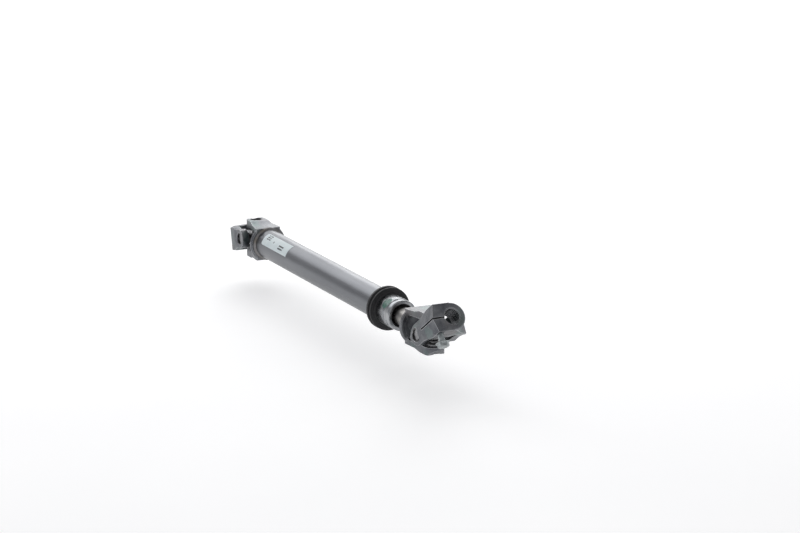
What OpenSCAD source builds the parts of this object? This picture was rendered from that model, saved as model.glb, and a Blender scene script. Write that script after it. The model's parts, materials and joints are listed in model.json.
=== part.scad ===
// Telescopic universal joint shaft: two cardan joints, a tube and a splined sliding shaft.
// Millimetres, +Z up, +X along the shaft towards the near clamp yoke.
// The origin is the middle of the near clamp yoke's bore.

/* [Shaft] */
// Distance between the centres of the two crosses
joint_span = 553; // [480:1:760]
// Outer diameter of the outer tube
tube_od = 40; // [36:0.5:46]
// Wall of the outer tube
tube_wall = 2.8; // [2:0.1:4]
// Diameter of the sliding shaft over its splines
shaft_d = 24; // [20:0.5:26]
// Depth of the splines
spline_depth = 1.5; // [1:0.1:2]
// Number of splines
spline_count = 20; // [12:1:26]
// Length of the moulded bush that the splines slide in
bush_len = 80; // [50:1:110]
// How far the shaft can be pushed in from rest
push_in = 22; // [10:1:26]
// How far the shaft can be pulled out from rest
pull_out = 60; // [30:1:80]

/* [Cross and bearings] */
// Distance from a cross's centre to the outer face of each ear
ear_face = 26; // [24:0.5:29]
// Distance from a cross's centre to the inner face of each ear
ear_in = 16; // [15:0.5:17]
// Radius of the ears round their bearing bores
ear_r = 13.2; // [12.6:0.1:14.5]
// Outer diameter of a bearing cup
cup_od = 16; // [15:0.5:18]
// Wall of a bearing cup
cup_wall = 1.3; // [1:0.1:1.6]
// Diameter of a needle roller
roller_d = 1.7; // [1.4:0.1:2]

/* [Fork yokes] */
// Distance from the cross's centre to the bottom of the throat
throat_x = 38; // [35:0.5:44]
// Radius of the round collar
collar_r = 26; // [24:0.5:28]
// Thickness of the collar
collar_t = 6; // [5:0.5:9]
// Half width of the fork where it meets the collar
fork_half_w = 17.5; // [15:0.5:19]
// Height of the ears above the axis where they meet the collar
fork_root_h = 22.5; // [20:0.5:24]

/* [Clamp yokes] */
// Bore for the splined shaft that is clamped
clamp_bore_d = 20; // [17:0.5:21]
// Wall of the clamp hub round its bore
hub_wall = 7.5; // [6:0.25:8.5]
// Near yoke: distance from the cross's centre to the inner end of the bore
near_throat = 33; // [30:0.5:40]
// Near yoke: length of the bore
near_bore_len = 26; // [20:0.5:34]
// Far yoke: distance from the cross's centre to the inner end of the bore
far_throat = 29; // [29:0.5:36]
// Far yoke: length of the bore
far_bore_len = 22; // [20:0.5:30]
// Width of the slit that lets the hub close
slit_w = 2; // [1:0.1:3]
// Diameter of the pinch bolts
bolt_d = 8; // [7:1:10]
// Length of the pinch bolts under their heads
bolt_len = 35; // [28:1:38]
// How far the near pinch bolt is backed out
near_bolt_out = 10.5; // [0:0.5:14]

/* [Sleeve and seal] */
// Distance from the near cross's centre to the sleeve's open lip
lip_x = 86; // [80:1:100]
// Distance from the near cross's centre to the end of the outer tube
tube_end_x = 120; // [112:1:130]
// Gap between the sliding shaft and the sleeve's lip
lip_gap = 2.8; // [2:0.1:3.4]
// How far the rubber seal ring stands out from the tube
ring_h = 8; // [6:0.5:10]
// Width of the rubber seal ring
ring_w = 14; // [12:1:18]

/* [Label] */
// Length of the label along the tube
label_len = 83; // [40:1:120]
// Width of the label round the tube
label_w = 19; // [10:1:26]
// Distance from the far cross's centre to the label's near edge
label_x = 63; // [60:1:200]

/* [Rest pose] */
// Angle that the near clamp yoke is tipped up
near_pitch = 34; // [-34:1:34]
// Angle that the far clamp yoke hangs down
far_droop = 12; // [-34:1:34]

/* [Hidden] */
$fn = 96;

// Clearances
press_gap = 0.01;     // pieces pressed together in one body
run_gap = 0.05;       // pieces that turn or slide in each other
thread_gap = 0.05;    // bolt in the lug that its thread holds

// Cross, cups and rollers, measured from the cross's centre along a trunnion
cross_r = 11.2;       // core of the cross
seal_in = 11.6;       // inner face of a cup seal
cup_mouth = 13.4;     // open end of a cup
cup_floor_t = 1.8;    // closed end of a cup
ring_t = 1.2;         // snap ring
trunnion_bevel = 0.6;
ring_deep = 0.7;      // groove in the ear beyond the cup
ring_band = 1.9;      // radial width of a snap ring
ring_set = 1.3;       // distance from the ear's outer face to the ring
cup_end = ear_face - ring_set - ring_t;
cup_in_r = cup_od/2 - cup_wall;
trunnion_r = cup_in_r - roller_d;
trunnion_end = cup_end - cup_floor_t - 0.3;
roller_r = roller_d/2 - run_gap;
roller_pitch_r = cup_in_r - roller_d/2;
roller_pitch_gap = 0.3; // least gap between two rollers
roller_count = floor(2*PI*roller_pitch_r/(roller_d + roller_pitch_gap));
roller_z0 = cup_mouth + 0.4;
roller_len = trunnion_end - roller_z0 - 0.3;

// Fork yokes
tip_chamfer = 6.5;    // bevel on the tip of each ear
ear_slope = 9;        // length of the slope down from each ear
throat_fillet = 6;    // round in the corners of the throat
dish_r = 20;          // dish in the throat's bottom
dish_depth = 7;
spigot_len = 15;      // tube yoke inside the tube
collar_end = throat_x + collar_t;
neck_r = 15;          // shaft yoke's neck
neck_end = collar_end + 14;
socket_deep = 12;     // shaft end inside the neck
socket_r = shaft_d/2 - 2;

// Clamp yokes
arm_half_tip = 12;    // half height of an arm beside its ear
arm_half_root = 16;   // half height of an arm where it meets the hub
far_arm_root = 18;    // far yoke: distance from the cross to where its arms are at full height
lug_half_h = 17.5;    // half height of the slit side of the hub
shoulder_len = 9;     // slope from the plain arm down to the hub
slit_start = 20.5;    // inner end of the slit from the cross's centre
hub_r = clamp_bore_d/2 + hub_wall;
bolt_wall = 1.8;      // metal between the bore and the bolt's hole
bolt_y = clamp_bore_d/2 + bolt_d/2 + bolt_wall;
bolt_back = 11;       // bolt axis from the hub's outer face
lug_clear = 0.3;      // bolt in the plain lug, radial
bolt_af = 1.625*bolt_d; // hexagon across flats
bolt_head_h = 0.55*bolt_d;
bolt_flange_t = 0.2*bolt_d;
bolt_flange_r = 1.12*bolt_d;

// Tube, sleeve and sliding shaft
spline_gap_w = PI*(shaft_d - spline_depth)/spline_count/2;
tube_r = tube_od/2;
tube_in_r = tube_r - tube_wall;
sleeve_spigot = 8;
lip_t = 5;
sleeve_wall = 2.4;
wiper_t = 7;
bush_x = tube_end_x + sleeve_spigot;
plain_end = bush_x - push_in - 2;
stop_t = 4;
stop_x = bush_x + bush_len + pull_out + 3;
stop_r = tube_in_r - 1;
bead_w = 3.2;
foil_t = 0.2;
label_mid_angle = 44; // middle of the label above the -Y side
label_corner_r = 3;

// Frame
near_bore_mid = near_throat + near_bore_len/2;
near_x = -near_bore_mid*cos(near_pitch);
near_z = -near_bore_mid*sin(near_pitch);
far_x = near_x - joint_span;
tube_len = joint_span - tube_end_x - collar_end;
eps = 0.5;            // how far a cut runs past a face

// ---------- places ----------
// Far fork: +X runs from the far cross along the shaft
module at_far() translate([far_x, 0, near_z]) children();
// Near fork: local +X runs from the near cross back along the shaft
module at_near() translate([near_x, 0, near_z]) rotate([0, 0, 180]) children();
// Clamp yokes: local +X runs from the cross out of the clamp bore
module near_clamp_place() translate([near_x, 0, near_z]) rotate([0, -near_pitch, 0]) children();
module far_clamp_place() translate([far_x, 0, near_z])
    rotate([0, -far_droop, 0]) rotate([0, 0, 180]) children();
// Both trunnions of a pair: children are drawn along +Z
module fork_pair() for (s = [0, 180]) rotate([s, 0, 0]) children();
module clamp_pair() for (s = [-90, 90]) rotate([s, 0, 0]) children();
// Children drawn along +Z are laid along +X
module along_x(x = 0) translate([x, 0, 0]) rotate([0, 90, 0]) children();

// ---------- shared shapes ----------
module tube_ring(r_out, r_in, len) difference() {
    cylinder(r = r_out, h = len);
    translate([0, 0, -eps]) cylinder(r = r_in, h = len + 2*eps);
}

// Cut for one ear: bearing bore, snap ring groove and a lead-in at the mouth
module ear_cut() {
    translate([0, 0, ear_in - 6]) cylinder(r = cup_od/2 + press_gap, h = ear_face - ear_in + 12);
    translate([0, 0, cup_end]) cylinder(r = cup_od/2 + ring_deep + press_gap, h = ring_t + press_gap);
    translate([0, 0, ear_face - 0.6]) cylinder(r1 = cup_od/2, r2 = cup_od/2 + 1.2, h = 1.2);
}

module spline_profile(r, grow) difference() {
    circle(r = r + grow);
    for (i = [0:spline_count - 1]) rotate(360*i/spline_count)
        translate([r - spline_depth + grow, -(spline_gap_w/2 - grow)])
            square([spline_depth + 2, spline_gap_w - 2*grow]);
}

// ---------- fork yokes ----------
module fork_side_2d() {
    top = [[-ear_r - 1, ear_face - tip_chamfer + 1], [-ear_r, ear_face - tip_chamfer],
        [-ear_r + tip_chamfer, ear_face], [ear_r - 1, ear_face],
        [ear_r + ear_slope, fork_root_h + 0.8], [throat_x, fork_root_h], [collar_end, fork_root_h]];
    polygon(concat([for (p = top) p], [for (i = [len(top) - 1:-1:0]) [top[i][0], -top[i][1]]]));
}
module fork_top_2d() {
    circle(r = ear_r);
    polygon([[0, ear_r], [ear_r, ear_r + 0.3], [throat_x, fork_half_w], [collar_end, fork_half_w],
        [collar_end, -fork_half_w], [throat_x, -fork_half_w], [ear_r, -ear_r - 0.3], [0, -ear_r]]);
}
// Opening between a yoke's arms
module throat_2d(depth) {
    x0 = depth - throat_fillet;
    translate([-40, -ear_in]) square([x0 + 40, 2*ear_in]);
    translate([x0 - 1, -ear_in + throat_fillet]) square([throat_fillet + 1, 2*(ear_in - throat_fillet)]);
    for (s = [-1, 1]) translate([x0, s*(ear_in - throat_fillet)]) circle(r = throat_fillet);
}
module fork(tail_r, tail_len) difference() {
    union() {
        intersection() {
            rotate([90, 0, 0]) linear_extrude(4*ear_face, center = true) fork_side_2d();
            linear_extrude(4*ear_face, center = true) fork_top_2d();
        }
        intersection() {
            along_x() rotate_extrude() polygon([[0, throat_x], [collar_r - 1.5, throat_x],
                [collar_r, throat_x + 1.5], [collar_r, collar_end - 2], [collar_r - 1.4, collar_end],
                [0, collar_end]]);
            cube([4*throat_x, 4*collar_r, 2*fork_root_h], center = true);
        }
        along_x(collar_end - 1) cylinder(r = tail_r, h = tail_len + 1);
        children();
    }
    rotate([90, 0, 0]) linear_extrude(4*ear_face, center = true) throat_2d(throat_x);
    intersection() {
        along_x(throat_x - 1) cylinder(r1 = dish_r + 1, r2 = dish_r - 8, h = dish_depth + 1);
        cube([4*throat_x, 4*ear_face, 2*ear_in], center = true);
    }
    fork_pair() ear_cut();
}

module tube_yoke() color([0.47, 0.48, 0.49]) at_far() fork(tube_in_r - press_gap, spigot_len);

module shaft_yoke() color([0.47, 0.48, 0.49]) at_near() difference() {
    fork(neck_r, neck_end - collar_end)
        along_x(collar_end) cylinder(r1 = collar_r - 5, r2 = neck_r, h = 9);
    along_x(neck_end - socket_deep) cylinder(r = socket_r + press_gap, h = socket_deep + eps);
}

// ---------- clamp yokes ----------
module arms_side_2d(root, end) {
    circle(r = ear_r);
    polygon([[0, ear_r], [ear_r, arm_half_tip + 1], [root, arm_half_root], [end, arm_half_root],
        [end, -arm_half_root], [root, -arm_half_root], [ear_r, -arm_half_tip - 1], [0, -ear_r]]);
}
module clamp_plan_2d(throat, face) {
    polygon([[-ear_r - 1, -ear_face], [face, -ear_face], [face, 0], [throat + shoulder_len, hub_r - 2],
        [throat, ear_face], [-ear_r - 1, ear_face]]);
}
// root: distance from the cross to where the arms reach their full height
module clamp_yoke(throat, bore_len, root) {
    face = throat + bore_len;
    bolt_x = face - bolt_back;
    difference() {
        union() {
            intersection() {
                linear_extrude(4*ear_face, center = true) clamp_plan_2d(throat, face);
                rotate([90, 0, 0]) linear_extrude(4*ear_face, center = true) union() {
                    arms_side_2d(root, throat + 2);
                    polygon([[throat - 4, -arm_half_root], [throat + 6, -lug_half_h], [face, -lug_half_h],
                        [face, lug_half_h], [throat + 6, lug_half_h], [throat - 4, arm_half_root]]);
                }
                along_x(-2*ear_r) clamp_section(face + 2*ear_r);
            }
            along_x(throat) cylinder(r = hub_r, h = bore_len - 1);
            along_x(face - 1) cylinder(r1 = hub_r, r2 = hub_r - 1, h = 1);
        }
        linear_extrude(4*ear_face, center = true) throat_2d(throat);
        along_x(throat - 8) cylinder(d = clamp_bore_d, h = bore_len + 8 + eps);
        along_x(face - 1) cylinder(d1 = clamp_bore_d, d2 = clamp_bore_d + 2.4, h = 1.2);
        translate([slit_start, -2*ear_face, -slit_w/2]) cube([2*face, 2*ear_face, slit_w]);
        translate([bolt_x, -bolt_y, 0]) {
            cylinder(r = bolt_d/2 + thread_gap, h = 2*lug_half_h);
            translate([0, 0, -2*lug_half_h]) cylinder(r = bolt_d/2 + lug_clear, h = 2*lug_half_h);
        }
        clamp_pair() ear_cut();
    }
}
// Outline across the yoke: the slit side leans out to its middle, the corners are cut off
module clamp_section(len) linear_extrude(len) {
    lean = 4;
    polygon([[-lug_half_h, -ear_face + lean], [-1, -ear_face], [1, -ear_face], [lug_half_h, -ear_face + lean],
        [lug_half_h, hub_r - 1], [arm_half_root, ear_face], [-arm_half_root, ear_face],
        [-lug_half_h, hub_r - 1]]);
}

module near_clamp_yoke() color([0.45, 0.46, 0.47]) near_clamp_place()
    clamp_yoke(near_throat, near_bore_len, near_throat + 1);
module far_clamp_yoke() color([0.45, 0.46, 0.47]) far_clamp_place()
    clamp_yoke(far_throat, far_bore_len, far_arm_root);

module pinch_bolt(face, out) translate([face - bolt_back, -bolt_y, -lug_half_h - out]) {
    cylinder(d = bolt_d, h = bolt_len - 1);
    translate([0, 0, bolt_len - 1]) cylinder(d1 = bolt_d, d2 = bolt_d - 2, h = 1);
    translate([0, 0, -bolt_flange_t]) cylinder(r = bolt_flange_r, h = bolt_flange_t);
    intersection() {
        translate([0, 0, -bolt_flange_t - bolt_head_h]) rotate(15)
            cylinder(d = bolt_af/cos(30), h = bolt_head_h, $fn = 6);
        translate([0, 0, -bolt_flange_t - bolt_head_h])
            cylinder(r1 = bolt_af/2 - 0.4, r2 = bolt_af/2 + 2*bolt_head_h, h = bolt_head_h);
    }
}
module near_pinch_bolt() color([0.75, 0.76, 0.74]) near_clamp_place()
    pinch_bolt(near_throat + near_bore_len, near_bolt_out);
module far_pinch_bolt() color([0.75, 0.76, 0.74]) far_clamp_place()
    pinch_bolt(far_throat + far_bore_len, 0);

// ---------- crosses ----------
module cross() {
    sphere(r = cross_r);
    for (a = [0, 90]) rotate([a, 0, 0]) {
        cylinder(r = trunnion_r, h = 2*(trunnion_end - trunnion_bevel), center = true);
        for (s = [0, 180]) rotate([s, 0, 0])
            translate([0, 0, trunnion_end - trunnion_bevel])
                cylinder(r1 = trunnion_r, r2 = trunnion_r - trunnion_bevel, h = trunnion_bevel);
    }
}
module near_cross() color([0.62, 0.62, 0.6]) translate([near_x, 0, near_z]) cross();
module far_cross() color([0.62, 0.62, 0.6]) at_far() cross();

// ---------- bearings, drawn along +Z ----------
module cup() difference() {
    translate([0, 0, cup_mouth]) cylinder(d = cup_od, h = cup_end - cup_mouth);
    translate([0, 0, cup_mouth - eps]) cylinder(r = cup_in_r, h = cup_end - cup_floor_t - cup_mouth + eps);
}
module rollers() for (i = [0:roller_count - 1]) rotate(360*i/roller_count)
    translate([roller_pitch_r, 0, roller_z0]) cylinder(r = roller_r, h = roller_len, $fn = 24);
module cup_seal() translate([0, 0, seal_in])
    tube_ring(cup_od/2 - 0.4, trunnion_r + run_gap, cup_mouth - seal_in);
module snap_ring() difference() {
    translate([0, 0, cup_end]) tube_ring(cup_od/2 + ring_deep, cup_od/2 + ring_deep - ring_band, ring_t);
    translate([0, -1.5, cup_end - eps]) cube([cup_od, 3, ring_t + 2*eps]);
}

module near_shaft_cups() color([0.55, 0.55, 0.56]) at_near() fork_pair() cup();
module near_clamp_cups() color([0.55, 0.55, 0.56]) near_clamp_place() clamp_pair() cup();
module far_tube_cups() color([0.55, 0.55, 0.56]) at_far() fork_pair() cup();
module far_clamp_cups() color([0.55, 0.55, 0.56]) far_clamp_place() clamp_pair() cup();

module near_shaft_rollers() color([0.8, 0.8, 0.82]) at_near() fork_pair() rollers();
module near_clamp_rollers() color([0.8, 0.8, 0.82]) near_clamp_place() clamp_pair() rollers();
module far_tube_rollers() color([0.8, 0.8, 0.82]) at_far() fork_pair() rollers();
module far_clamp_rollers() color([0.8, 0.8, 0.82]) far_clamp_place() clamp_pair() rollers();

module near_shaft_cup_seals() color([0.08, 0.08, 0.08]) at_near() fork_pair() cup_seal();
module near_clamp_cup_seals() color([0.08, 0.08, 0.08]) near_clamp_place() clamp_pair() cup_seal();
module far_tube_cup_seals() color([0.08, 0.08, 0.08]) at_far() fork_pair() cup_seal();
module far_clamp_cup_seals() color([0.08, 0.08, 0.08]) far_clamp_place() clamp_pair() cup_seal();

module near_shaft_snap_rings() color([0.3, 0.3, 0.32]) at_near() fork_pair() snap_ring();
module near_clamp_snap_rings() color([0.3, 0.3, 0.32]) near_clamp_place() clamp_pair() snap_ring();
module far_tube_snap_rings() color([0.3, 0.3, 0.32]) at_far() fork_pair() snap_ring();
module far_clamp_snap_rings() color([0.3, 0.3, 0.32]) far_clamp_place() clamp_pair() snap_ring();

// ---------- tube side ----------
module outer_tube() color([0.42, 0.43, 0.45]) at_far() along_x(collar_end)
    tube_ring(tube_r, tube_in_r, tube_len);

module weld_bead() color([0.4, 0.38, 0.36]) at_far() along_x(collar_end) intersection() {
    rotate_extrude() translate([tube_r + press_gap, 0]) intersection() {
        circle(r = bead_w, $fn = 32);
        square(bead_w + 1);
    }
    cylinder(r = collar_r, h = bead_w + 1);
}

module tube_label() color([0.82, 0.88, 0.88]) at_far() difference() {
    intersection() {
        along_x(label_x - eps) cylinder(r = tube_r + foil_t, h = label_len + 2*eps);
        rotate([90 - label_mid_angle, 0, 0]) translate([label_x + label_len/2, 0, tube_r/2])
            linear_extrude(tube_r) label_2d();
    }
    along_x(label_x - 2*eps) cylinder(r = tube_r + press_gap, h = label_len + 4*eps);
}
// The label seen square on: the far corners are round
module label_2d() {
    half_w = tube_r*sin(label_w/tube_r*90/PI);
    translate([label_corner_r/2, 0]) square([label_len - label_corner_r, 2*half_w], center = true);
    translate([-label_len/2 + label_corner_r, 0])
        square([2*label_corner_r, 2*(half_w - label_corner_r)], center = true);
    for (s = [-1, 1]) translate([-label_len/2 + label_corner_r, s*(half_w - label_corner_r)])
        circle(r = label_corner_r);
}

// Drawn from the tube's end back over the tube
module seal_ring() color([0.03, 0.03, 0.03]) at_near() along_x(tube_end_x) rotate_extrude() difference() {
    r = tube_r + ring_h;
    polygon([[tube_r + press_gap, 0], [tube_r + 1.2, 0], [r - 2.6, 1.6], [r - 1, 1.4], [r - 0.3, 2.2],
        [r - 0.3, 4], [r - 3.6, 5.6], [r - 3.6, 8], [r, 9.4], [r, ring_w - 1.2], [r - 1.2, ring_w],
        [tube_r + press_gap, ring_w]]);
    translate([tube_r + 0.4*ring_h, 0]) circle(r = 1.5, $fn = 32);
}

module lock_sleeve() color([0.78, 0.79, 0.78]) at_near() along_x(lip_x) rotate_extrude() {
    body_len = tube_end_x - lip_x;
    r_lip = shaft_d/2 + lip_gap;
    r_in = tube_r - 0.2 - sleeve_wall;
    polygon([[r_lip, 0.8], [r_lip + 0.8, 0], [tube_r - 1.6, 0], [tube_r - 0.6, 0.6], [tube_r - 0.2, 1.6],
        [tube_r - 0.2, 4.4], [tube_r - 0.8, 5], [tube_r - 0.8, 9], [tube_r, 10], [tube_r, body_len],
        [tube_in_r - press_gap, body_len], [tube_in_r - press_gap, body_len + sleeve_spigot],
        [r_lip, body_len + sleeve_spigot], [r_lip, body_len - 3], [r_in, body_len - 5], [r_in, lip_t + 1],
        [r_lip, lip_t]]);
}

module wiper_seal() color([0.04, 0.04, 0.04]) at_near() along_x(lip_x + lip_t + 1.2) rotate_extrude() {
    r_out = tube_r - 0.2 - sleeve_wall - press_gap;
    r_lip = shaft_d/2 + run_gap;
    polygon([[r_lip, 0.4], [r_lip + 0.8, 0], [r_out, 0], [r_out, wiper_t], [r_lip + 3, wiper_t],
        [r_lip + 2, 2.4], [r_lip, 1.6]]);
}

module slide_bush() color([0.85, 0.83, 0.74])
    at_near() along_x(bush_x + press_gap) linear_extrude(bush_len) difference() {
    circle(r = tube_in_r - press_gap);
    spline_profile(shaft_d/2, run_gap);
}

// ---------- sliding shaft ----------
module inner_shaft() color([0.5, 0.49, 0.47]) at_near() {
    along_x(neck_end - socket_deep) cylinder(r = socket_r, h = socket_deep + 1);
    along_x(neck_end) cylinder(d = shaft_d, h = plain_end - neck_end);
    along_x(plain_end) linear_extrude(stop_x - plain_end) spline_profile(shaft_d/2, 0);
    along_x(stop_x) cylinder(r = socket_r, h = stop_t + 2);
}
module stop_ring() color([0.4, 0.4, 0.42]) at_near() along_x(stop_x + press_gap)
    tube_ring(stop_r, socket_r + press_gap, stop_t);

outer_tube();
tube_yoke();
weld_bead();
tube_label();
seal_ring();
lock_sleeve();
wiper_seal();
slide_bush();
inner_shaft();
shaft_yoke();
stop_ring();
near_cross();
far_cross();
near_clamp_yoke();
far_clamp_yoke();
near_pinch_bolt();
far_pinch_bolt();
near_shaft_cups();
near_clamp_cups();
far_tube_cups();
far_clamp_cups();
near_shaft_rollers();
near_clamp_rollers();
far_tube_rollers();
far_clamp_rollers();
near_shaft_cup_seals();
near_clamp_cup_seals();
far_tube_cup_seals();
far_clamp_cup_seals();
near_shaft_snap_rings();
near_clamp_snap_rings();
far_tube_snap_rings();
far_clamp_snap_rings();
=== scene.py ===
"""Looks of the telescopic universal joint shaft: finishes, small pieces, floor, light and camera."""
import json
import math

import bmesh
import bpy
from mathutils import Matrix, Vector, noise


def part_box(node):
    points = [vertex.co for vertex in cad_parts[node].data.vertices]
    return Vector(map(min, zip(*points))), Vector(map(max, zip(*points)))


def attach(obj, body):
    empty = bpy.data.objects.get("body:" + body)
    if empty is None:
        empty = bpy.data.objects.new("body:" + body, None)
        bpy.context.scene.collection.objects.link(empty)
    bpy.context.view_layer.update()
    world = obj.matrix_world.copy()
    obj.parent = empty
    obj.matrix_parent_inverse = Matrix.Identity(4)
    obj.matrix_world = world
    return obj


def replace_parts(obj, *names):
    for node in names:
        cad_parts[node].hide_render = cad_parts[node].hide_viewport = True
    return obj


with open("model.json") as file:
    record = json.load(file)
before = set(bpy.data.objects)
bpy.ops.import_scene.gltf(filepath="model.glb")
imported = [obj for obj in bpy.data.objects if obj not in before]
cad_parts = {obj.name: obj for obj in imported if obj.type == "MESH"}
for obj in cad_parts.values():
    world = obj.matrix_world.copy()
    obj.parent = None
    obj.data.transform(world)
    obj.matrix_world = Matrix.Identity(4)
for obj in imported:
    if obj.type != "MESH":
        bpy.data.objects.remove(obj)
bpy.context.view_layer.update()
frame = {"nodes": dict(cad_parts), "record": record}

MM = 0.001
JOINTS = {j["name"]: j for j in frame["record"]["behaviour"]["joints"]}
MOUNTS = {m["name"]: m for m in frame["record"]["mounts"]}
NEAR = Vector(JOINTS["near_fork_hinge"]["pos_m"])
FAR = Vector(JOINTS["far_fork_hinge"]["pos_m"])


# ---------- camera, floor and light ----------

VIEW_AZIMUTH = math.radians(64)
VIEW_ELEVATION = math.radians(14.2)
LENS = 116.37
SENSOR = 36.0
# Camera from the near cross: to its right, above it along the picture, and back from it
CAMERA_OFFSET = (-0.0409, 0.0805, 3.1434)
# Brightness of the studio: the sine of the angle above level, and the level of light there
WORLD_LEVELS = [(0.0, 0.62), (0.3, 0.6), (0.6, 0.42), (1.0, 0.5)]
WORLD_BLUE = 1.02
FLOOR_HALF_SIZE = 20
FLOOR_CLEARANCE = 2 * MM
FLOOR_GLOW = 0.24


def view_axes(azimuth, elevation):
    """The camera's right, up and back directions."""
    sin_a, cos_a = math.sin(azimuth), math.cos(azimuth)
    sin_e, cos_e = math.sin(elevation), math.cos(elevation)
    right = Vector((cos_a, sin_a, 0))
    up = Vector((-sin_a * sin_e, cos_a * sin_e, cos_e))
    back = Vector((sin_a * cos_e, -cos_a * cos_e, sin_e))
    return right, up, back


def make_camera():
    right, up, back = view_axes(VIEW_AZIMUTH, VIEW_ELEVATION)
    data = bpy.data.cameras.new("camera")
    data.lens = LENS
    data.sensor_width = SENSOR
    data.clip_start = 0.05
    data.clip_end = 100
    camera = bpy.data.objects.new("camera", data)
    x, y, z = CAMERA_OFFSET
    turn = Matrix((right, up, back)).transposed().to_4x4()
    camera.matrix_world = Matrix.Translation(NEAR + x * right + y * up + z * back) @ turn
    bpy.context.scene.collection.objects.link(camera)
    bpy.context.scene.camera = camera


def make_world():
    """A plain studio: pale at the horizon and below, dimmer higher up."""
    world = bpy.data.worlds.new("studio")
    bpy.context.scene.world = world
    world.use_nodes = True
    tree = world.node_tree
    background = tree.nodes["Background"]
    coords = tree.nodes.new("ShaderNodeTexCoord")
    split = tree.nodes.new("ShaderNodeSeparateXYZ")
    ramp = tree.nodes.new("ShaderNodeValToRGB")
    tree.links.new(coords.outputs["Generated"], split.inputs[0])
    tree.links.new(split.outputs["Z"], ramp.inputs["Fac"])
    tree.links.new(ramp.outputs["Color"], background.inputs["Color"])
    while len(ramp.color_ramp.elements) < len(WORLD_LEVELS):
        ramp.color_ramp.elements.new(0.5)
    for element, (place, level) in zip(ramp.color_ramp.elements, WORLD_LEVELS):
        element.position = place
        element.color = (level, level, level * WORLD_BLUE, 1)


def softbox(name, offset, size, radiance):
    """A rectangle that shines on the middle of the shaft with an even radiance."""
    middle = (NEAR + FAR) / 2
    data = bpy.data.lights.new(name, "AREA")
    data.shape = "RECTANGLE"
    data.size, data.size_y = size
    data.energy = radiance * math.pi * size[0] * size[1]
    light = bpy.data.objects.new(name, data)
    light.location = middle + Vector(offset)
    light.rotation_euler = (-Vector(offset)).to_track_quat("-Z", "Y").to_euler()
    bpy.context.scene.collection.objects.link(light)


def make_lights():
    softbox("window", (-2.6, 0.4, 2.4), (4.6, 2.4), 2.1)
    softbox("low_window", (-3.0, 2.2, 1.1), (2.2, 1.4), 2.0)


def make_floor():
    """A pale floor just below the near clamp yoke's reach, so that no pose sinks into it."""
    reach = max((Vector(v.co) - NEAR).length
                for n in ("near_clamp_yoke", "near_pinch_bolt") for v in frame["nodes"][n].data.vertices)
    size = FLOOR_HALF_SIZE
    mesh = bpy.data.meshes.new("floor")
    corners = [(-size, -size, 0), (size, -size, 0), (size, size, 0), (-size, size, 0)]
    mesh.from_pydata(corners, [], [(0, 1, 2, 3)])
    floor = bpy.data.objects.new("floor", mesh)
    floor.location.z = NEAR.z - reach - FLOOR_CLEARANCE
    bpy.context.scene.collection.objects.link(floor)
    material = Finish("floor_pale", (0.93, 0.93, 0.93), roughness=0.7)
    material.colour_noise((0.92, 0.92, 0.925), (0.95, 0.95, 0.95), scale=3)
    material.shader.inputs["Emission Color"].default_value = (1, 1, 1, 1)
    material.shader.inputs["Emission Strength"].default_value = FLOOR_GLOW
    mesh.materials.append(material.material)


# ---------- finishes ----------

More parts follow.
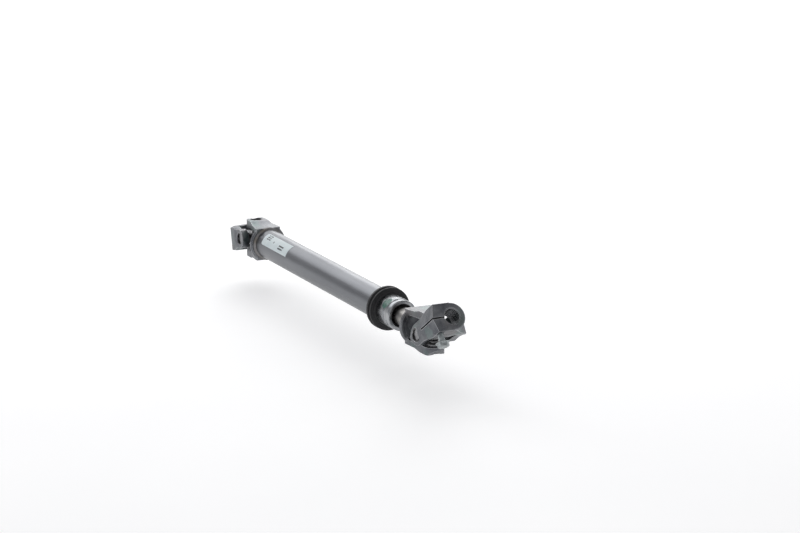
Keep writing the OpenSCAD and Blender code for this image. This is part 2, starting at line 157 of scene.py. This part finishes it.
class Finish:
    """A Principled material with helpers that add colour, roughness and bump from noise."""

    def __init__(self, name, colour, roughness, metallic=0.0, specular=0.5):
        self.material = bpy.data.materials.new(name)
        self.material.use_nodes = True
        self.tree = self.material.node_tree
        self.shader = self.tree.nodes["Principled BSDF"]
        self.shader.inputs["Base Color"].default_value = (*colour, 1)
        self.shader.inputs["Roughness"].default_value = roughness
        self.shader.inputs["Metallic"].default_value = metallic
        self.shader.inputs["Specular IOR Level"].default_value = specular
        self.coords = self.add("ShaderNodeTexCoord").outputs["Object"]

    def add(self, kind, **values):
        made = self.tree.nodes.new(kind)
        for name, value in values.items():
            setattr(made, name, value)
        return made

    def link(self, output, target):
        self.tree.links.new(output, target)

    def place(self, stretch=(1, 1, 1), shift=(0, 0, 0)):
        """Object coordinates, scaled per axis."""
        mapping = self.add("ShaderNodeMapping")
        mapping.inputs["Scale"].default_value = stretch
        mapping.inputs["Location"].default_value = shift
        self.link(self.coords, mapping.inputs["Vector"])
        return mapping.outputs["Vector"]

    def noise(self, scale, detail=3.0, stretch=(1, 1, 1), roughness=0.5, shift=(0, 0, 0)):
        made = self.add("ShaderNodeTexNoise")
        made.inputs["Scale"].default_value = scale
        made.inputs["Detail"].default_value = detail
        made.inputs["Roughness"].default_value = roughness
        self.link(self.place(stretch, shift), made.inputs["Vector"])
        return made.outputs["Fac"]

    def levels(self, source, low, high, floor=0.0, ceiling=1.0):
        """Source between low and high, spread over floor to ceiling."""
        made = self.add("ShaderNodeMapRange")
        made.inputs["From Min"].default_value = low
        made.inputs["From Max"].default_value = high
        made.inputs["To Min"].default_value = floor
        made.inputs["To Max"].default_value = ceiling
        self.link(source, made.inputs["Value"])
        return made.outputs["Result"]

    def maths(self, operation, a, b):
        made = self.add("ShaderNodeMath", operation=operation)
        for socket, value in zip(made.inputs, (a, b)):
            if isinstance(value, (int, float)):
                socket.default_value = value
            else:
                self.link(value, socket)
        return made.outputs[0]

    def mix(self, share, a, b):
        """From a to b by the share output; a and b are colours or outputs."""
        made = self.add("ShaderNodeMix", data_type="RGBA")
        for socket, value in zip((made.inputs[0], made.inputs[6], made.inputs[7]), (share, a, b)):
            if isinstance(value, tuple):
                socket.default_value = (*value, 1)
            else:
                self.link(value, socket)
        return made.outputs[2]

    def colour_noise(self, a, b, scale, detail=3.0, stretch=(1, 1, 1)):
        self.colour(self.mix(self.levels(self.noise(scale, detail, stretch), 0.3, 0.7), a, b))

    def colour(self, output):
        self.link(output, self.shader.inputs["Base Color"])

    def roughness_from(self, source, smooth, rough):
        self.link(self.levels(source, 0.3, 0.7, smooth, rough), self.shader.inputs["Roughness"])

    def bump(self, height, distance, strength):
        """Height in 0 to 1, distance in metres."""
        made = self.add("ShaderNodeBump")
        made.inputs["Strength"].default_value = strength
        made.inputs["Distance"].default_value = distance
        self.link(height, made.inputs["Height"])
        self.link(made.outputs["Normal"], self.shader.inputs["Normal"])

    def edges(self, width):
        """1 on sharp edges and 0 on faces, from how far a rounded normal leans from the face's own."""
        soft = self.add("ShaderNodeBevel", samples=6)
        soft.inputs["Radius"].default_value = width
        geometry = self.add("ShaderNodeNewGeometry")
        dot = self.add("ShaderNodeVectorMath", operation="DOT_PRODUCT")
        self.link(soft.outputs["Normal"], dot.inputs[0])
        self.link(geometry.outputs["Normal"], dot.inputs[1])
        return self.levels(self.maths("SUBTRACT", 1.0, dot.outputs["Value"]), 0.01, 0.12)


def tube_steel():
    finish = Finish("tube_steel", (0.22, 0.225, 0.235), 0.34, metallic=1.0)
    streaks = finish.noise(900, 4, stretch=(0.012, 1, 1), roughness=0.6)
    clouds = finish.noise(26, 3, stretch=(0.35, 1, 1))
    base = finish.mix(finish.levels(clouds, 0.3, 0.7), (0.13, 0.136, 0.148), (0.168, 0.175, 0.187))
    finish.colour(finish.mix(finish.levels(streaks, 0.35, 0.7, 0.0, 0.35), base, (0.235, 0.242, 0.255)))
    finish.roughness_from(streaks, 0.27, 0.42)
    finish.bump(streaks, 0.00006, 0.5)
    return finish.material


def yoke_steel():
    finish = Finish("yoke_steel", (0.3, 0.305, 0.315), 0.42, metallic=1.0)
    patches = finish.noise(55, 5, roughness=0.62)
    tints = finish.noise(38, 3, shift=(3, 5, 7))
    scuffs = finish.noise(420, 5, shift=(1, 2, 3), roughness=0.7)
    grain = finish.noise(1500, 4, roughness=0.65)
    base = finish.mix(finish.levels(patches, 0.38, 0.62), (0.095, 0.1, 0.112), (0.2, 0.206, 0.216))
    base = finish.mix(finish.levels(tints, 0.52, 0.66, 0.0, 0.45), base, (0.125, 0.19, 0.178))
    warmth = finish.noise(33, 3, shift=(9, 2, 4))
    base = finish.mix(finish.levels(warmth, 0.56, 0.7, 0.0, 0.25), base, (0.19, 0.158, 0.14))
    base = finish.mix(finish.levels(scuffs, 0.58, 0.74, 0.0, 0.45), base, (0.32, 0.33, 0.342))
    # Lighter along the edges: partly edge wear, partly painted highlight where the rounded edges catch the
    # light
    finish.colour(finish.mix(finish.edges(0.0013), base, (0.52, 0.528, 0.54)))
    finish.roughness_from(finish.maths("ADD", finish.maths("MULTIPLY", patches, 0.6),
                                       finish.maths("MULTIPLY", scuffs, 0.4)), 0.26, 0.5)
    finish.bump(finish.maths("ADD", grain, finish.maths("MULTIPLY", finish.noise(210, 4), 2.4)), 0.0002, 0.8)
    return finish.material


def weld_steel():
    finish = Finish("weld", (0.2, 0.18, 0.16), 0.45, metallic=1.0)
    finish.colour_noise((0.2, 0.185, 0.165), (0.24, 0.24, 0.25), 90, 3)
    finish.bump(finish.noise(700, 3), 0.0002, 0.6)
    return finish.material


def zinc_sleeve():
    finish = Finish("zinc_sleeve", (0.6, 0.62, 0.63), 0.24, metallic=1.0)
    turned = finish.noise(2500, 2, stretch=(1, 0.03, 0.03))
    mottle = finish.noise(120, 4)
    finish.colour(finish.mix(finish.levels(mottle, 0.4, 0.6), (0.22, 0.232, 0.245), (0.4, 0.41, 0.42)))
    finish.roughness_from(mottle, 0.2, 0.34)
    finish.bump(turned, 0.00006, 0.5)
    return finish.material


def zinc_bolt():
    finish = Finish("zinc_bolt", (0.6, 0.64, 0.63), 0.28, metallic=1.0)
    mottle = finish.levels(finish.noise(260, 4), 0.4, 0.62)
    base = finish.mix(mottle, (0.25, 0.275, 0.28), (0.38, 0.41, 0.415))
    # Lighter along the edges: painted highlight on the bolt's chamfers, flange and other edges
    finish.colour(finish.mix(finish.edges(0.0006), base, (0.7, 0.72, 0.72)))
    finish.roughness_from(finish.noise(400, 3), 0.2, 0.36)
    finish.bump(finish.noise(900, 3), 0.00005, 0.5)
    return finish.material


def shaft_steel():
    finish = Finish("shaft_steel", (0.3, 0.29, 0.28), 0.32, metallic=1.0)
    turned = finish.noise(1800, 3, stretch=(1, 0.03, 0.03))
    finish.colour_noise((0.22, 0.215, 0.21), (0.36, 0.35, 0.33), 60, 3, stretch=(0.4, 1, 1))
    finish.roughness_from(finish.noise(300, 3), 0.24, 0.42)
    finish.bump(turned, 0.00004, 0.5)
    return finish.material


def bearing_steel():
    finish = Finish("bearing_steel", (0.42, 0.42, 0.42), 0.3, metallic=1.0)
    finish.colour_noise((0.17, 0.172, 0.18), (0.29, 0.29, 0.295), 180, 3)
    finish.roughness_from(finish.noise(500, 3), 0.22, 0.38)
    finish.bump(finish.noise(2200, 2), 0.00003, 0.5)
    return finish.material


def spring_steel():
    finish = Finish("spring_steel", (0.06, 0.06, 0.065), 0.38, metallic=1.0)
    finish.colour_noise((0.045, 0.045, 0.05), (0.09, 0.088, 0.085), 300, 3)
    finish.roughness_from(finish.noise(600, 3), 0.3, 0.5)
    return finish.material


def black_rubber():
    finish = Finish("black_rubber", (0.012, 0.012, 0.013), 0.5, specular=0.4)
    finish.colour_noise((0.008, 0.008, 0.009), (0.02, 0.02, 0.022), 200, 3)
    finish.roughness_from(finish.noise(500, 3), 0.42, 0.62)
    finish.bump(finish.noise(1600, 3), 0.00006, 0.6)
    return finish.material


def nylon():
    finish = Finish("nylon", (0.72, 0.69, 0.58), 0.5)
    finish.colour_noise((0.68, 0.65, 0.54), (0.76, 0.73, 0.63), 150, 3)
    finish.bump(finish.noise(1200, 2), 0.00004, 0.5)
    return finish.material


def label_foil():
    finish = Finish("label_foil", (0.66, 0.74, 0.76), 0.42)
    fibres = finish.noise(1400, 3, stretch=(0.4, 1, 1))
    finish.colour_noise((0.6, 0.69, 0.71), (0.7, 0.77, 0.79), 60, 3)
    finish.roughness_from(fibres, 0.34, 0.5)
    finish.bump(fibres, 0.00003, 0.4)
    return finish.material


def mark_paint():
    finish = Finish("mark_paint", (0.05, 0.14, 0.11), 0.4)
    finish.colour_noise((0.03, 0.1, 0.075), (0.08, 0.2, 0.16), 260, 4)
    finish.bump(finish.noise(700, 4), 0.0001, 0.6)
    return finish.material


def label_ink():
    finish = Finish("label_ink", (0.05, 0.055, 0.06), 0.55)
    finish.colour_noise((0.035, 0.04, 0.045), (0.09, 0.1, 0.11), 900, 3)
    return finish.material


MAKERS = {"tube_steel": tube_steel, "yoke_steel": yoke_steel, "weld": weld_steel, "zinc_sleeve": zinc_sleeve,
          "zinc_bolt": zinc_bolt, "shaft_steel": shaft_steel, "bearing_steel": bearing_steel,
          "spring_steel": spring_steel, "black_rubber": black_rubber, "nylon": nylon,
          "label_foil": label_foil, "mark_paint": mark_paint, "label_ink": label_ink}


def dress_frame():
    """Gives each CAD node the finish of its material slot."""
    for part in frame["record"]["subparts"]:
        for slot in frame["nodes"][part["node"]].material_slots:
            slot.material = FINISHES[part["material_slot"]]


# ---------- pieces ----------

# Yokes: rounding of the forged edges and the angles that tell edges from facets
YOKES = {"tube_yoke": "tube", "shaft_yoke": "sliding_shaft",
         "near_clamp_yoke": "near_clamp", "far_clamp_yoke": "far_clamp"}
EDGE_ROUND = 0.9 * MM
ROUND_ABOVE = math.radians(28)
FLAT_WITHIN = math.radians(0.6)
MERGE_WITHIN = 0.001 * MM

# Pinch bolt, as shares of the thread's radius (the flange's share is of the thread's diameter)
BOLT_FLANGE = 1.12
BOLT_ACROSS_FLATS = 1.625
BOLT_HEAD_H = 1.1
BOLT_FLANGE_T = 0.4
BOLT_PITCH = 0.3125
THREAD_DEPTH = 0.55  # share of the pitch
RINGS_PER_TURN = 8
BOLT_SEGMENTS = 48

# Teeth of the clamp bores
TEETH = 36
TOOTH_H = 0.55 * MM
TOOTH_SEAT = 0.05 * MM
TOOTH_INSET = 0.4 * MM
SLIT_HALF_ANGLE = math.radians(9)

# Weld bead: how it is divided, its ripples, and how it sits in the CAD bead's outline
WELD_AROUND, WELD_ACROSS = 360, 10
WELD_RIPPLES = 64
WELD_FILL = 0.98
WELD_LIFT = 0.05 * MM
WELD_FOOT = 0.02 * MM

# Paint and print: thin shells just off the surface, with angles from the -Y side
SKIN_LIFT = 0.01 * MM
PAINT_T = 0.05 * MM
INK_T = 0.03 * MM
FOIL_T = 0.2 * MM
MARK_FROM_END, MARK_LENGTH = 9.5 * MM, 15 * MM
MARK_ANGLES = (22, 72)
LABEL_ANGLES = (71, 17)
# Each block of print: from and to along the label, from and to across it, lines
LABEL_BLOCKS = [(0.10, 0.24, 0.10, 0.55, 3), (0.38, 0.41, 0.42, 0.64, 1), (0.62, 0.80, 0.46, 0.84, 2)]


def clamp_axes(mount):
    """The clamp yoke's own directions as columns: bore outward, across, and along the pinch bolt."""
    out = Vector(MOUNTS[mount]["axis"])
    along = Vector((-out.z, 0, out.x)) if out.x > 0 else Vector((out.z, 0, -out.x))
    return Matrix((out, along.cross(out), along)).transposed()


def local_box(node, axes):
    """Lowest and highest corner of a CAD node along other axes."""
    turn = axes.transposed()
    points = [turn @ v.co for v in frame["nodes"][node].data.vertices]
    return (Vector([min(p[i] for p in points) for i in range(3)]),
            Vector([max(p[i] for p in points) for i in range(3)]))


def finish_piece(name, mesh, body, slot, smooth_angle=35):
    """Makes an object from a mesh in the row frame and hands it to its body."""
    mesh.materials.clear()
    mesh.materials.append(FINISHES[slot])
    for face in mesh.polygons:
        face.use_smooth = True
    mesh.set_sharp_from_angle(angle=math.radians(smooth_angle))
    piece = bpy.data.objects.new(name, mesh)
    bpy.context.scene.collection.objects.link(piece)
    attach(piece, body)
    return piece


def to_mesh(grid, name, place=Matrix.Identity(4)):
    bmesh.ops.recalc_face_normals(grid, faces=grid.faces)
    mesh = bpy.data.meshes.new(name)
    grid.to_mesh(mesh)
    grid.free()
    mesh.transform(place)
    return mesh


def ring_mesh(name, rings, segments, place):
    """Closed skin over rings, each a height and its radius as a function of angle and height."""
    grid = bmesh.new()
    rows = []
    for z, radius in rings:
        row = []
        for i in range(segments):
            angle = 2 * math.pi * i / segments
            r = radius(angle, z)
            row.append(grid.verts.new((r * math.cos(angle), r * math.sin(angle), z)))
        rows.append(row)
    for low, high in zip(rows, rows[1:]):
        for i in range(segments):
            j = (i + 1) % segments
            grid.faces.new((low[i], low[j], high[j], high[i]))
    for row, step in ((rows[0], -1), (rows[-1], 1)):
        middle = grid.verts.new((0, 0, row[0].co.z))
        for i in range(segments):
            grid.faces.new((row[i], row[(i + 1) % segments], middle)[::step])
    return to_mesh(grid, name, place)


def tube_radius():
    low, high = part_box("outer_tube")
    return (high.y - low.y) / 2


def pinch_bolt(name, node, mount, body):
    """Flanged hexagon bolt with a real thread, in the place of the plain CAD bolt."""
    axes = clamp_axes(mount)
    low, high = local_box(node, axes)
    flange_r = (high.x - low.x) / 2
    thread_r = flange_r / BOLT_FLANGE / 2
    pitch = BOLT_PITCH * thread_r
    depth = THREAD_DEPTH * pitch
    flat_r = BOLT_ACROSS_FLATS * thread_r
    head_h = BOLT_HEAD_H * thread_r
    flange_t = BOLT_FLANGE_T * thread_r
    top = high.z - low.z
    under = head_h + flange_t
    shank_r = 0.985 * thread_r
    smooth_end = under + 2.6 * thread_r

    def round_at(r):
        return lambda angle, z: r

    def hexagon(limit):
        sector = math.pi / 3
        return lambda angle, z: min(limit, flat_r / math.cos((angle - sector / 4) % sector - sector / 2))

    def thread(cut):
        def radius(angle, z):
            phase = ((z - smooth_end) / pitch - angle / (2 * math.pi)) % 1
            return thread_r - cut * depth * (1 - abs(2 * phase - 1))
        return radius

    dimple_r = 0.62 * flat_r
    full_hexagon = hexagon(2 * flat_r)
    head = [(0.10 * head_h, round_at(0.3 * flat_r)), (0.08 * head_h, round_at(dimple_r)),
            (0, round_at(1.05 * dimple_r)), (0, round_at(0.94 * flat_r)),
            (0.09 * head_h, hexagon(1.06 * flat_r)), (0.2 * head_h, full_hexagon),
            (0.9 * head_h, full_hexagon), (head_h, round_at(1.08 * flat_r))]
    flange = [(head_h + 0.45 * flange_t, round_at(0.97 * flange_r)),
              (head_h + 0.6 * flange_t, round_at(flange_r)),
              (head_h + 0.9 * flange_t, round_at(flange_r)), (under, round_at(0.98 * flange_r))]
    shank = [(under, round_at(1.12 * thread_r)), (under + 0.1 * thread_r, round_at(shank_r)),
             (smooth_end, round_at(shank_r))]
    turns = int((top - 0.2 * thread_r - smooth_end) / pitch)
    for i in range(1, turns * RINGS_PER_TURN + 1):
        z = smooth_end + pitch * i / RINGS_PER_TURN
        shank.append((z, thread(min(1, (z - smooth_end) / pitch, (top - z) / pitch))))
    tip = [(top, round_at(0.8 * thread_r))]
    middle = axes @ Vector(((low.x + high.x) / 2, (low.y + high.y) / 2, low.z))
    place = Matrix.Translation(middle) @ axes.to_4x4()
    mesh = ring_mesh(name, head + flange + shank + tip, BOLT_SEGMENTS, place)
    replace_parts(finish_piece(name, mesh, body, "zinc_bolt"), node)


def bore_serration(name, mount, body):
    """Fine teeth round a clamp bore, left open where the slit runs."""
    spec = MOUNTS[mount]
    root = spec["dims"]["r_mm"] * MM + TOOTH_SEAT
    tip = spec["dims"]["r_mm"] * MM - TOOTH_H
    half = spec["dims"]["length_mm"] * MM / 2 - TOOTH_INSET
    axes = clamp_axes(mount)
    # Round the bore: from the side away from the slit, by way of the bolt's direction
    lay = Matrix((axes.col[1], axes.col[2], axes.col[0])).transposed().to_4x4()
    step = 2 * math.pi / TEETH
    grid = bmesh.new()
    for i in range(TEETH):
        middle = step * (i + 0.5)
        if abs(middle - math.pi) < SLIT_HALF_ANGLE:
            continue
        profile = [(root, -0.36 * step), (tip, -0.14 * step), (tip, 0.14 * step), (root, 0.36 * step)]
        low, high = ([grid.verts.new((r * math.cos(middle + a), r * math.sin(middle + a), z))
                      for r, a in profile] for z in (-half, half))
        for k in range(4):
            grid.faces.new((low[k], low[(k + 1) % 4], high[(k + 1) % 4], high[k]))
        grid.faces.new(low[::-1])
        grid.faces.new(high)
    place = Matrix.Translation(Vector(spec["pos_m"])) @ lay
    finish_piece(name, to_mesh(grid, name, place), body, "yoke_steel")


def weld_bead():
    """Rippled bead between the tube and the tube yoke, inside the outline of the CAD one."""
    low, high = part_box("weld_bead")
    tube_r = tube_radius()
    inner = tube_r + WELD_LIFT
    height = high.y - tube_r - WELD_LIFT
    length = high.x - low.x
    grid = bmesh.new()
    rows = []
    for i in range(WELD_AROUND):
        angle = 2 * math.pi * i / WELD_AROUND
        wave = 0.5 + 0.5 * math.sin(WELD_RIPPLES * angle + 1.3 * math.sin(5 * angle))
        wander = 0.06 * math.sin(3 * angle) + 0.05 * math.sin(11 * angle + 1)
        profile = []
        for k in range(WELD_ACROSS + 1):
            t = math.pi / 2 * k / WELD_ACROSS
            swell = WELD_FILL * (1 + (wander - 0.09 * (1 - wave)) * math.sin(2 * t))
            profile.append((low.x + length * math.sin(t) * swell, inner + height * math.cos(t) * swell))
        profile.append((low.x, tube_r + WELD_FOOT))
        rows.append([grid.verts.new((x, NEAR.y + r * math.cos(angle), NEAR.z + r * math.sin(angle)))
                     for x, r in profile])
    count = len(rows[0])
    for here, after in zip(rows, rows[1:] + rows[:1]):
        for k in range(count):
            m = (k + 1) % count
            grid.faces.new((here[k], here[m], after[m], after[k]))
    name = "weld_bead_rippled"
    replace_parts(finish_piece(name, to_mesh(grid, name), "tube", "weld", smooth_angle=60), "weld_bead")


def skin_patch(name, x_range, angles, radius, thickness, cells, keep):
    """A thin shell round the tube's axis. Angles in degrees go up from the -Y side; keep says which
    cells stay, by how far along and how far round they are."""
    grid = bmesh.new()
    columns, rows = cells
    inner, outer = radius, radius + thickness
    points = {}

    def point(i, j, r):
        key = (i, j, r)
        if key not in points:
            x = x_range[0] + (x_range[1] - x_range[0]) * i / columns
            angle = math.radians(angles[0] + (angles[1] - angles[0]) * j / rows)
            points[key] = grid.verts.new((x, NEAR.y - r * math.cos(angle), NEAR.z + r * math.sin(angle)))
        return points[key]

    kept = {(i, j) for i in range(columns) for j in range(rows)
            if keep((i + 0.5) / columns, (j + 0.5) / rows)}
    for i, j in sorted(kept):
        corners = [(i, j), (i + 1, j), (i + 1, j + 1), (i, j + 1)]
        grid.faces.new([point(a, b, outer) for a, b in corners])
        grid.faces.new([point(a, b, inner) for a, b in reversed(corners)])
        sides = [((i, j - 1), 0, 1), ((i + 1, j), 1, 2), ((i, j + 1), 2, 3), ((i - 1, j), 3, 0)]
        for neighbour, a, b in sides:
            if neighbour not in kept:
                grid.faces.new([point(*corners[a], inner), point(*corners[b], inner),
                                point(*corners[b], outer), point(*corners[a], outer)])
    return to_mesh(grid, name)


def sleeve_mark():
    """A ragged dab of green paint on the sleeve."""
    low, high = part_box("lock_sleeve")
    radius = (high.y - low.y) / 2 + SKIN_LIFT
    end = high.x - MARK_FROM_END
    half = 0.47

    def keep(u, v):
        rag = (0.09 * noise.noise(Vector((u * 5, v * 5, 3)))
               + 0.05 * noise.noise(Vector((u * 17, v * 17, 8))))
        hole = noise.noise(Vector((u * 9, v * 6, 20))) > 0.42
        return math.hypot((u - 0.5) / half, (v - 0.5) / half) + rag < 1 and not hole

    mesh = skin_patch("sleeve_mark", (end - MARK_LENGTH, end), MARK_ANGLES, radius, PAINT_T, (44, 48), keep)
    finish_piece("sleeve_mark", mesh, "tube", "mark_paint")


def label_marks():
    """Plain ticks in place of the label's print."""
    low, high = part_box("tube_label")
    radius = tube_radius() + FOIL_T + SKIN_LIFT

    def keep(u, v):
        for u0, u1, v0, v1, lines in LABEL_BLOCKS:
            if not (u0 <= u < u1 and v0 <= v < v1):
                continue
            line = (v - v0) / (v1 - v0) * lines
            tick = noise.noise(Vector((math.floor(u * 60) * 0.73, math.floor(line) * 5.1, 4)))
            if line % 1 < 0.62 and (lines == 1 or tick > -0.25):
                return True
        return False

    mesh = skin_patch("label_marks", (low.x, high.x), LABEL_ANGLES, radius, INK_T, (120, 44), keep)
    finish_piece("label_marks", mesh, "tube", "label_ink")


def forged_copy(node, body):
    """The yoke with its hard edges rounded."""
    name = node + "_forged"
    grid = bmesh.new()
    grid.from_mesh(frame["nodes"][node].data)
    bmesh.ops.remove_doubles(grid, verts=grid.verts, dist=MERGE_WITHIN)
    bmesh.ops.dissolve_limit(grid, angle_limit=FLAT_WITHIN, verts=grid.verts, edges=grid.edges)
    mesh = bpy.data.meshes.new(name)
    grid.to_mesh(mesh)
    grid.free()
    rounded = bpy.data.objects.new(name, mesh)
    bpy.context.scene.collection.objects.link(rounded)
    bevel = rounded.modifiers.new("round", "BEVEL")
    bevel.width = EDGE_ROUND
    bevel.segments = 3
    bevel.limit_method = "ANGLE"
    bevel.angle_limit = ROUND_ABOVE
    bevel.use_clamp_overlap = True
    bevel.miter_outer = "MITER_ARC"
    graph = bpy.context.evaluated_depsgraph_get()
    final = bpy.data.meshes.new_from_object(rounded.evaluated_get(graph))
    bpy.data.objects.remove(rounded)
    final.name = name
    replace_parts(finish_piece(name, final, body, "yoke_steel", smooth_angle=24), node)


# ---------- run ----------

make_camera()
FINISHES = {name: make() for name, make in MAKERS.items()}
make_floor()
make_world()
make_lights()
dress_frame()
for yoke, yoke_body in YOKES.items():
    forged_copy(yoke, yoke_body)
pinch_bolt("near_bolt_threaded", "near_pinch_bolt", "near_clamp_bore", "near_clamp")
pinch_bolt("far_bolt_threaded", "far_pinch_bolt", "far_clamp_bore", "far_clamp")
bore_serration("near_bore_serration", "near_clamp_bore", "near_clamp")
bore_serration("far_bore_serration", "far_clamp_bore", "far_clamp")
weld_bead()
sleeve_mark()
label_marks()
bpy.context.scene.view_settings.view_transform = "Standard"
